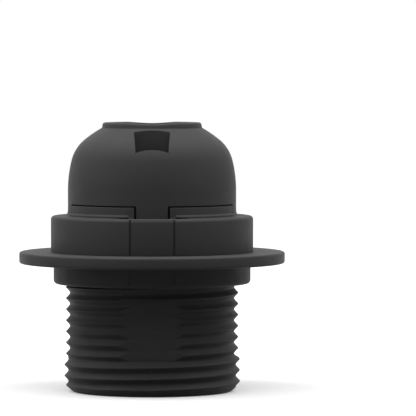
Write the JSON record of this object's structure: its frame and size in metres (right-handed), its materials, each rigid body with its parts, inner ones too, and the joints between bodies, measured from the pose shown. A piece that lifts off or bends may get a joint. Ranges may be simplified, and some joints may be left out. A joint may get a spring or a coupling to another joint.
{
  "type": "lamp holder",
  "caption": "Screw-thread pendant lamp holder: threaded skirt with lamp socket, clip-on domed cap with cord entry, and a screw-on shade ring.",
  "frame": {"origin": "on the axis, at the open rim that the lamp enters", "axes": "+Z along the axis from the lamp rim to the cord entry, -Y to the front, with the latch and the cable-grip pocket"},
  "size_m": [0.06, 0.06, 0.0607],
  "materials": {
    "black_plastic": "fine satin moulded",
    "insert_plastic": "matt moulded",
    "brass": "machined",
    "contact_bronze": "rolled strip",
    "plated_steel": "zinc plated"
  },
  "bodies": {
    "holder": {"threaded_skirt": "black_plastic", "dome_cap": "black_plastic", "contact_block": "insert_plastic", "front_fixing_screw": "plated_steel", "rear_fixing_screw": "plated_steel", "live_terminal": "brass", "neutral_terminal": "brass", "centre_contact_rivet": "brass", "side_contact_rivet": "brass"},
    "ring": {"shade_ring": "black_plastic"},
    "centre_strip": {"centre_contact": "contact_bronze"},
    "side_strip": {"side_contact": "contact_bronze"},
    "live_screw": {"live_terminal_screw": "plated_steel"},
    "neutral_screw": {"neutral_terminal_screw": "plated_steel"}
  },
  "joints": [
    {"name": "ring_travel", "type": "slide", "parent": "holder", "child": "ring", "axis": [0, 0, -1], "range_m": [0, 0.0225]},
    {"name": "centre_contact_flex", "type": "hinge", "parent": "holder", "child": "centre_strip", "pos_m": [0.011, 0, 0.0262], "axis": [0, 1, 0], "range_deg": [0, 6], "stiffness_Nm_per_rad": 0.05},
    {"name": "side_contact_flex", "type": "hinge", "parent": "holder", "child": "side_strip", "pos_m": [-0.0068, 0, 0.0262], "axis": [0, 1, 0], "range_deg": [0, 4], "stiffness_Nm_per_rad": 0.05},
    {"name": "live_screw_turn", "type": "hinge", "parent": "holder", "child": "live_screw", "pos_m": [0.0085, 0, 0.0385], "axis": [0, 0, 1], "continuous": true},
    {"name": "neutral_screw_turn", "type": "hinge", "parent": "holder", "child": "neutral_screw", "pos_m": [-0.0085, 0, 0.0385], "axis": [0, 0, 1], "continuous": true}
  ]
}
